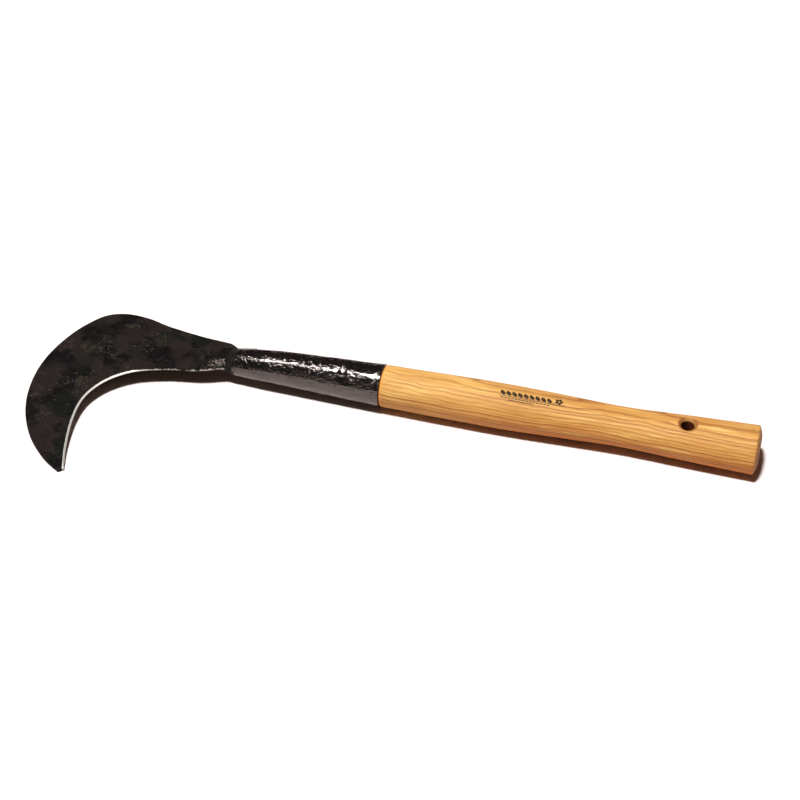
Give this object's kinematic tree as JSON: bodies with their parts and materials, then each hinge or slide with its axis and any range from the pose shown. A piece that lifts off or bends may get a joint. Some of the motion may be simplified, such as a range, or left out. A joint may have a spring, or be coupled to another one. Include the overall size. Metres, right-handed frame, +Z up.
{
  "type": "brush hook",
  "caption": "One-hand brush hook: forged crescent blade with a concave edge, conical socket and flared ash handle with a hanging hole.",
  "frame": {"origin": "on the surface the tool lies on, below the centre of its bounding box", "axes": "+X along the handle, from the blade towards the butt; +Y towards the blade's convex back; +Z up, across the lying blade"},
  "size_m": [0.6144, 0.1886, 0.0376],
  "materials": {
    "forged_blade": "satin",
    "socket_lacquer": "gloss",
    "weld_metal": "satin",
    "ash_wood": "satin",
    "nail_lacquer": "gloss"
  },
  "bodies": {
    "root": {"blade": "forged_blade", "socket": "socket_lacquer", "weld_bead_upper": "weld_metal", "weld_bead_lower": "weld_metal", "handle": "ash_wood", "socket_nail": "nail_lacquer"}
  },
  "joints": []
}
